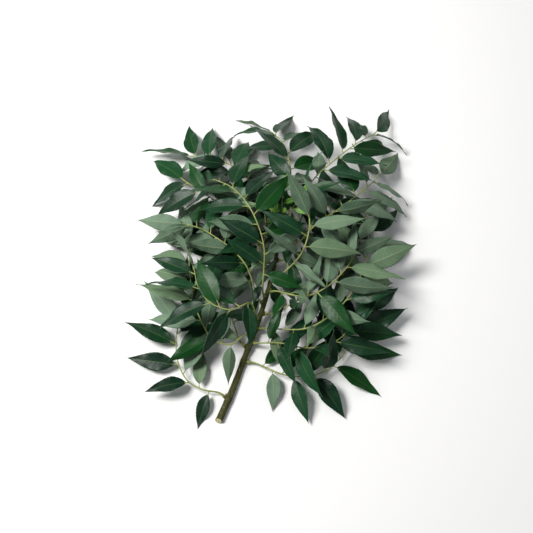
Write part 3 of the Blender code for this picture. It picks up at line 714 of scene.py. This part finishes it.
class Graph:
    """A material of one Principled BSDF, with short calls for the nodes that feed it."""

    def __init__(self, name, roughness, specular):
        self.material = bpy.data.materials.new(name)
        self.material.use_nodes = True
        self.nodes, self.links = self.material.node_tree.nodes, self.material.node_tree.links
        self.shader = self.nodes["Principled BSDF"]
        self.rough(roughness)
        self.feed(self.shader.inputs["Specular IOR Level"], specular)

    def feed(self, socket, value):
        if isinstance(value, bpy.types.NodeSocket):
            self.links.new(value, socket)
        else:
            socket.default_value = (*value, 1) if isinstance(value, tuple) else value

    def node(self, kind, values, output=0, **settings):
        """A new node's output. values go to its sockets in their order, or as a dictionary says."""
        node = self.nodes.new("ShaderNode" + kind)
        for setting, value in settings.items():
            setattr(node, setting, value)
        for key, value in values.items() if isinstance(values, dict) else enumerate(values):
            self.feed(node.inputs[key], value)
        return node.outputs[output]

    def math(self, operation, *values):
        return self.node("Math", values, operation=operation)

    def add(self, *values):
        return self.math("ADD", *values)

    def times(self, *values):
        return self.math("MULTIPLY", *values)

    def fit(self, value, low, high, to_low=0, to_high=1):
        return self.node("MapRange", (value, low, high, to_low, to_high), interpolation_type="SMOOTHSTEP")

    def below(self, value, full, none):
        """1 where the value is under full, and 0 where it is over none."""
        return self.fit(value, full, none, 1, 0)

    def mix(self, share, first, second):
        return self.node("Mix", {0: share, 6: first, 7: second}, output=2, data_type="RGBA")

    def over(self, base, *layers):
        """The base under layers, each a colour, its mask and its strength."""
        for colour, mask, strength in layers:
            base = self.mix(self.times(mask, strength), base, colour)
        return base

    def map(self, name):
        split = self.nodes.new("ShaderNodeSeparateXYZ")
        self.feed(split.inputs[0], self.node("UVMap", (), uv_map=name))
        return split.outputs[0], split.outputs[1]

    def vector(self, *values):
        return self.node("CombineXYZ", values)

    def noise(self, vector, scale, detail, roughness=0.5):
        values = {"Vector": vector, "Scale": scale, "Detail": detail, "Roughness": roughness}
        return self.node("TexNoise", values)

    def cells(self, vector, scale, feature="F1"):
        return self.node("TexVoronoi", {"Vector": vector, "Scale": scale}, feature=feature)

    def colour(self, value):
        self.feed(self.shader.inputs["Base Color"], value)

    def rough(self, value):
        self.feed(self.shader.inputs["Roughness"], value)

    def bump(self, height, distance, strength):
        values = {"Height": height, "Distance": distance, "Strength": strength}
        self.feed(self.shader.inputs["Normal"], self.node("Bump", values))


def leaf_space(g):
    """How far along and how far aside a point of a leaflet is, its leaflet's tone, how far off a side vein it
    is, how much the veins show there, and its place in the textures."""
    u, across = g.map("place")
    tone, shuffle = g.map("tint")
    signed = g.math("SUBTRACT", across, 0.5)
    aside = g.times(g.math("ABSOLUTE", signed), 2)
    slant = g.add(g.times(aside, VEIN_SLANT[0]), g.times(g.times(aside, aside), VEIN_SLANT[1]))
    phase = g.times(g.math("SUBTRACT", u, slant), VEINS)
    phase = g.add(phase, g.times(g.math("GREATER_THAN", signed, 0), 0.5))
    off = g.math("ABSOLUTE", g.math("SUBTRACT", g.math("FRACT", g.add(phase, 0.5)), 0.5))
    fade = g.times(g.below(aside, 0.75, 1), g.below(u, 0.82, 0.97))
    where = g.vector(*(g.times(share, scale) for share, scale in zip((u, signed, shuffle), LEAF_SCALE)))
    return u, aside, tone, off, fade, where


def upper_material(name, dark, bright, warm, rib, vein, rough):
    """The glossier side, with pale midrib, veins, rim and oil dots."""
    g = Graph(name, rough, 0.21)
    u, aside, tone, off, fade, where = leaf_space(g)
    patches, fine = g.noise(where, 0.09, 3, 0.55), g.noise(where, 1.3, 3, 0.6)
    g.colour(g.over(
        g.mix(g.fit(g.add(g.times(tone, 0.65), g.times(patches, 0.55)), 0.25, 1), dark, bright),
        (warm, g.fit(g.math("FRACT", g.times(tone, 7)), 0.45, 1), 0.8),
        (bright, g.fit(fine, 0.35, 0.75), 0.22),
        (vein, g.times(g.below(off, 0.015, 0.075), fade), 0.30),
        (rib, g.times(g.below(aside, 0.025, 0.075), g.fit(u, 0.5, 1, 1, 0.35)), 0.48),
        (vein, g.fit(aside, 0.93, 1), 0.35),
        (vein, g.below(g.cells(where, 2.1), 0.10, 0.22), 0.16),
    ))
    g.rough(g.add(g.times(g.fit(fine, 0.2, 0.8), 0.14), rough - 0.07))
    net = g.cells(where, 1.15, "DISTANCE_TO_EDGE")
    height = g.add(g.times(g.fit(off, 0, 0.11), 0.6), g.times(g.fit(net, 0, 0.12), 0.22))
    g.bump(g.add(height, g.times(fine, 0.35)), 0.00012, 0.55)
    return g.material


def under_material(name, shade, light, warm, rib, vein, rough):
    """The paler, matt side, mixed between its shade and light tones leaflet by leaflet and in patches. For the
    grown fronds these two tones are partly the underside's own tones and partly painted shade and painted
    light.
    """
    g = Graph(name, rough, 0.2)
    u, aside, tone, off, fade, where = leaf_space(g)
    patches, fine = g.noise(where, 0.11, 3, 0.55), g.noise(where, 2.2, 3, 0.65)
    net = g.below(g.cells(where, 1.15, "DISTANCE_TO_EDGE"), 0, 0.10)
    g.colour(g.over(
        # The base is mixed between the shade and light tones, which in leaf_under are partly painted shade and
        # painted light.
        g.mix(g.fit(g.add(g.times(tone, 0.6), g.times(patches, 0.6)), 0.25, 1), shade, light),
        (warm, g.fit(g.math("FRACT", g.times(tone, 5)), 0.5, 1), 0.6),
        (shade, g.fit(fine, 0.35, 0.75), 0.25),
        (vein, net, 0.16),
        (vein, g.times(g.below(off, 0.02, 0.085), fade), 0.45),
        (rib, g.times(g.below(aside, 0.035, 0.085), g.fit(u, 0.6, 1, 1, 0.5)), 0.5),
        (shade, g.below(g.cells(where, 2.1), 0.08, 0.2), 0.18),
    ))
    g.rough(g.add(g.times(fine, 0.12), rough - 0.06))
    height = g.add(g.times(g.below(off, 0, 0.10), 0.8), g.times(net, 0.3))
    g.bump(g.add(height, g.times(fine, 0.3)), 0.00014, 0.6)
    return g.material


def round_space(g, along=1, around=1):
    """How far along a stalk or stem a point is, and a place there that has no seam."""
    far, turn = g.map("place")
    angle = g.times(turn, 2 * math.pi)
    sides = (g.times(g.math(name, angle), around) for name in ("COSINE", "SINE"))
    return far, g.vector(g.times(far, along), *sides)


def stalk_material():
    """Yellow-green, mottled and streaked, and darker at the foot."""
    g = Graph("stalk", 0.48, 0.35)
    far, where = round_space(g, 1, 0.25)
    streaks = g.noise(g.vector(g.times(far, 0.4), where, 0), 6, 3, 0.6)
    g.colour(g.over(
        g.mix(g.fit(g.noise(where, 0.55, 3, 0.6), 0.3, 0.7), (0.17, 0.225, 0.055), (0.31, 0.35, 0.115)),
        ((0.45, 0.46, 0.19), g.fit(streaks, 0.45, 0.75), 0.3),
        ((0.16, 0.17, 0.045), g.below(far, 0, 0.9), 0.65),
    ))
    fine = g.noise(where, 9, 4, 0.7)
    g.rough(g.add(g.times(fine, 0.2), 0.38))
    g.bump(fine, 0.00018, 0.5)
    return g.material


def bark_material():
    """Dark olive brown, partly its own colour and partly painted shade, greener towards the tip, with painted
    highlights on the paler ridges, painted shade in the dark furrows and small pale specks.
    """
    g = Graph("bark", 0.78, 0.2)
    far, where = round_space(g, 0.5, 1)
    ridges = g.noise(round_space(g, 0.28, 1)[1], 7, 4, 0.65)
    specks = g.below(g.cells(where, 5.5), 0.08, 0.16)
    g.colour(g.over(
        # The base: dark olive brown, partly the bark's own colour and partly painted shade.
        g.mix(g.fit(g.noise(where, 0.9, 4, 0.6), 0.3, 0.7), (0.026, 0.029, 0.007), (0.066, 0.068, 0.018)),
        ((0.062, 0.088, 0.017), g.fit(far, 6, 17), 0.7),
        # Painted highlight: paler where the ridges stand highest.
        ((0.100, 0.100, 0.032), g.fit(ridges, 0.42, 0.7), 0.45),
        # Painted shade: darker in the furrows between the ridges.
        ((0.018, 0.018, 0.006), g.below(ridges, 0.25, 0.42), 0.6),
        ((0.27, 0.25, 0.12), specks, 0.55),
    ))
    g.rough(g.add(g.times(ridges, 0.25), 0.62))
    g.bump(g.add(ridges, g.times(specks, 0.5)), 0.0005, 0.6)
    return g.material


def mottled_material(name, rough, specular, scale, first, second, grain):
    """Two colours in patches, with a rough grain."""
    g = Graph(name, rough, specular)
    where = round_space(g)[1]
    g.colour(g.mix(g.noise(where, scale, 3), first, second))
    g.bump(g.noise(where, grain, 3), 0.0002, 0.5)
    return g.material


def cut_material():
    """Pale wood round a brown pith, inside green and dark rings of bark, with faint rays."""
    g = Graph("cut_wood", 0.7, 0.25)
    far, turn = g.map("place")
    angle = g.times(turn, 2 * math.pi)
    where = g.vector(g.times(g.math("COSINE", angle), far), g.times(g.math("SINE", angle), far), 0)
    grain = g.noise(where, 9, 4, 0.6)
    wood = g.mix(g.fit(grain, 0.3, 0.7), (0.50, 0.44, 0.25), (0.66, 0.60, 0.38))
    wood = g.mix(g.below(far, 0.14, 0.22), wood, (0.26, 0.19, 0.09))
    wood = g.mix(g.fit(far, 0.76, 0.83), wood, (0.20, 0.27, 0.07))
    wood = g.mix(g.fit(far, 0.90, 0.95), wood, (0.06, 0.05, 0.02))
    rays = g.noise(g.vector(g.times(turn, 60), far, 0), 1, 2)
    g.colour(g.over(wood, ((0.36, 0.30, 0.15), g.fit(rays, 0.5, 0.7), 0.25)))
    g.bump(g.add(grain, rays), 0.0003, 0.5)
    return g.material


# ---- The stem ----
BARK, CUT, LENTICEL, BUD = 0, 1, 2, 3  # its material slots
BARK_SIDES, BARK_STEP = 36, 1.1
RIDGES = ((0.018, 5, 0.12, 1), (0.012, 9, -0.2, 0))  # share of the radius, number, turn and start
BARK_UNEVEN = 0.02
SLANTED_RINGS = 14  # over which the cut's slant fades out
CUT_SHARES = (1.0, 0.93, 0.8, 0.5, 0.2)  # of the cut face's radius, where it has rings
CUT_BULGE = 0.12  # of its middle
BUD_LENGTH, TIP_BUD_LENGTH = 2.6, 3.6
LENTICELS = 150
LENTICEL_ENDS = (3, 6)  # how far they stay from the stem's ends
LENTICEL_LOWEST = 0.6  # and from the table
LENTICEL_SIZE = (0.28, 0.5)
LENTICEL_RINGS = ((1.7, 1.0, -0.12), (0.9, 0.5, 0.16))  # half lengths and widths over the size, and heights
LENTICEL_SIDES = 8


def add_bark(solid, stem, distances):
    """The stem's round side and its end at the tip. Gives its points, ring by ring."""
    radii = [stem_radius(stem, d) for d in distances]

    def squeeze(k, angles):
        d = distances[k]
        ridged = sum(size * np.sin(number * angles + turn * d + start) for size, number, turn, start in RIDGES)
        return 1 + ridged + BARK_UNEVEN * wobble(angles * 2 + d * 0.35, "bark")

    bark = Solid()
    centres = [stem.point(d) for d in distances]
    add_tube(bark, centres, radii, BARK_SIDES, BARK, lengths=distances / 10, squeeze=squeeze)
    points, places = bark.points[0], bark.places[0]
    centre, along = np.array(stem.point(0)), np.array(stem.along(0))
    for k in range(SLANTED_RINGS):
        ring = points[k * BARK_SIDES : (k + 1) * BARK_SIDES]
        slant = (ring[:, 2] - centre[2]) * math.tan(CUT_SLANT) * (1 - k / (SLANTED_RINGS - 1))
        ring += np.outer(slant, along)
    points[:, 2] = np.maximum(points[:, 2], 0.01)
    solid.add(points, bark.faces[:-2] + bark.faces[-1:], BARK, places)
    return points


def add_cut_face(solid, rim, along):
    """The cut end, inside this rim of the bark."""
    sides, middle = len(rim), rim.mean(0)
    face = np.concatenate([middle + (rim - middle) * share for share in CUT_SHARES] + [middle[None, :]])
    bulge = [along * -CUT_BULGE * (1 - share) for share in CUT_SHARES for _ in range(sides)]
    face += np.array(bulge + [along * -CUT_BULGE])
    turn = np.arange(sides) / sides
    places = [np.stack([np.full(sides, share), turn], axis=1) for share in CUT_SHARES] + [[[0.0, 0.5]]]
    inner = (len(CUT_SHARES) - 1) * sides
    fan = [(inner + i, inner + (i + 1) % sides, inner + sides) for i in range(sides)]
    solid.add(face, grid(len(CUT_SHARES), sides, closed=True) + fan, CUT, np.concatenate(places))


def add_leaf_base(solid, stem, foot, tint):
    """The stem's side of a frond's joint, and the bud above it."""
    distance, centre, out, reach = foot
    along = stem.along(distance)
    steps = np.linspace(0.15, 1, 8)
    inside = [centre + out * (reach - JOINT_GAP) * s for s in steps]
    widths = [BASE_RADIUS + BASE_FLARE * (1 - s) + 0.12 * math.exp(-(((s - 0.93) / 0.05) ** 2)) for s in steps]
    add_tube(solid, inside, widths, 16, BARK, lengths=distance / 10 + steps * 0.5)
    away = (out - along * out.dot(along)).normalized()
    root = centre + away * (stem_radius(stem, distance) - 0.4) + along * (BASE_RADIUS + 1.3)
    add_bud(solid, root, (away * 0.8 + along * 0.75).normalized(), BUD_LENGTH, BUD, tint)


def add_lenticel(solid, stem, distances, points, chance):
    """A pale wart somewhere on the bark, unless it would be where the stem lies on the table."""
    distance = chance.uniform(LENTICEL_ENDS[0], stem.length - LENTICEL_ENDS[1])
    angle = chance.uniform(0, 2 * math.pi)
    k = int(np.abs(distances - distance).argmin())
    i = int(angle / (2 * math.pi) * BARK_SIDES) % BARK_SIDES
    spot = points[k * BARK_SIDES + i]
    if spot[2] < LENTICEL_LOWEST:
        return
    outward = spot - np.array(stem.point(distances[k]))
    outward /= np.linalg.norm(outward)
    along = np.array(stem.along(distance))
    side = np.cross(along, outward)
    size = chance.uniform(*LENTICEL_SIZE)
    turns = np.linspace(0, 2 * np.pi, LENTICEL_SIDES, endpoint=False)
    rings = []
    for length, width, height in LENTICEL_RINGS:
        for t in turns:
            flat = along * math.cos(t) * size * length + side * math.sin(t) * size * width
            rings.append(spot + flat + outward * height)
    faces = grid(2, LENTICEL_SIDES, closed=True) + [tuple(range(LENTICEL_SIDES, 2 * LENTICEL_SIDES))]
    solid.add(np.array(rings), faces, LENTICEL, np.array([[distance / 10, t] for t in turns] * 2))


def stem_piece(stem, feet, shift):
    """The stem with its cut face, leaf bases, buds and lenticels."""
    solid = Solid()
    distances = np.array(evenly(stem.length, BARK_STEP))
    points = add_bark(solid, stem, distances)
    add_cut_face(solid, points[:BARK_SIDES], np.array(stem.along(0)))
    chance = random.Random("stem details")
    for foot in feet:
        add_leaf_base(solid, stem, foot, (chance.random(), chance.random()))
    for _ in range(LENTICELS):
        add_lenticel(solid, stem, distances, points, chance)
    materials = [bark_material(), cut_material(),
                 mottled_material("lenticel", 0.85, 0.15, 12, (0.34, 0.31, 0.19), (0.20, 0.17, 0.09), 20),
                 mottled_material("bud", 0.6, 0.3, 3, (0.10, 0.12, 0.03), (0.20, 0.16, 0.06), 12)]
    return solid.build("stem_fine", materials, shift)


# ---- Pieces ----
FINE_RACHIS = (2.0, 12, SET_BACK)  # the step between rings, the sides and the set-back
YOUNG_RACHIS = (1.2, 10, 0.0)
FINE_SHOOT_STEP, FINE_SHOOT_SIDES = 1.0, 14


def place_piece(piece, node):
    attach(piece, "root")
    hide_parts(node)


def young_piece(shoot, fronds, grown, materials, shift):
    """The stem's green tip, with the bud that ends it and its small fronds."""
    solid = Solid()
    distances = np.array(evenly(shoot.length, FINE_SHOOT_STEP))
    radii = between(np.array(SHOOT_RADII)[:, None], distances / shoot.length)
    radii = radii * (1 + UNEVEN * wobble(distances, "shoot"))
    add_stalk(solid, shoot, distances, radii, FINE_SHOOT_SIDES, SET_BACK, far=2)
    tip, ahead = shoot.point(shoot.length - 0.3), shoot.along(shoot.length)
    add_bud(solid, tip, ahead, TIP_BUD_LENGTH, UPPER, (0.9, 0.5))
    for frond in fronds:
        add_frond(solid, frond, grown[frond.name], *YOUNG_RACHIS, young=True)
    return solid.build("young_shoot_fine", materials, shift)


def main():
    stem, feet, fronds, shoot, young_fronds, grown = lay_out()
    shift = part_shift(stem, fronds, grown)
    upper = upper_material("leaf_upper", *LEAF_UPPER)
    under = under_material("leaf_under", *LEAF_UNDER)
    stalk = stalk_material()
    for frond in fronds:
        solid = Solid()
        add_frond(solid, frond, grown[frond.name], *FINE_RACHIS)
        place_piece(solid.build(frond.name + "_fine", [upper, under, stalk], shift), frond.name)
    place_piece(stem_piece(stem, feet, shift), "stem")
    young_upper = upper_material("young_upper", *YOUNG_UPPER)
    young_under = under_material("young_under", *YOUNG_UNDER)
    piece = young_piece(shoot, young_fronds, grown, [young_upper, young_under, stalk], shift)
    place_piece(piece, "young_shoot")


main()

# ---- Stage, light and camera ----
FLOOR_SIZE = 3  # metres from its middle to its edges
# Each light: its place from the part's middle, watts, size and colour.
LIGHTS = {
    "key": ((-0.85, 0.20, 1.10), 29, 0.55, (1.0, 0.985, 0.96)),
    "fill": ((0.95, -0.55, 0.75), 2.6, 0.9, (0.95, 0.98, 1.0)),
    "back": ((0.25, 1.1, 0.8), 4, 0.8, (1, 1, 1)),
}
SKY, SKY_STRENGTH = (0.93, 0.97, 1.0, 1), 0.12
ELEVATION = math.radians(69)
LENS, SENSOR = 50.0, 36.0
DISTANCE = 0.80
AIM = Vector((-0.007, -0.020, 0.02))  # from the table under the part's middle

middle = (cad_low + cad_high) / 2
mesh = bpy.data.meshes.new("floor")
corners = [(x * FLOOR_SIZE, y * FLOOR_SIZE, 0) for x, y in ((-1, -1), (1, -1), (1, 1), (-1, 1))]
mesh.from_pydata(corners, [], [(0, 1, 2, 3)])
floor = add_object("floor", mesh)
g = Graph("floor", 0.7, 0.2)
g.colour((0.86, 0.86, 0.86))
mesh.materials.append(g.material)

for name, (place, power, size, colour) in LIGHTS.items():
    lamp = bpy.data.lights.new(name, "AREA")
    lamp.energy = power
    lamp.size = size
    lamp.color = colour
    light = add_object(name, lamp)
    light.location = middle + Vector(place)
    light.rotation_euler = (-Vector(place)).to_track_quat("-Z", "Y").to_euler()

world = bpy.data.worlds.new("world")
world.use_nodes = True
background = world.node_tree.nodes["Background"]
background.inputs["Color"].default_value = SKY
background.inputs["Strength"].default_value = SKY_STRENGTH
bpy.context.scene.world = world
bpy.context.scene.view_settings.view_transform = "Standard"

camera = add_object("camera", bpy.data.cameras.new("camera"))
camera.data.lens = LENS
camera.data.sensor_width = SENSOR
camera.data.clip_start = 0.01
view_from = Vector((0, -math.cos(ELEVATION), math.sin(ELEVATION)))
camera.location = Vector((middle.x, middle.y, 0)) + AIM + view_from * DISTANCE
camera.rotation_euler = (-view_from).to_track_quat("-Z", "Y").to_euler()
bpy.context.scene.camera = camera
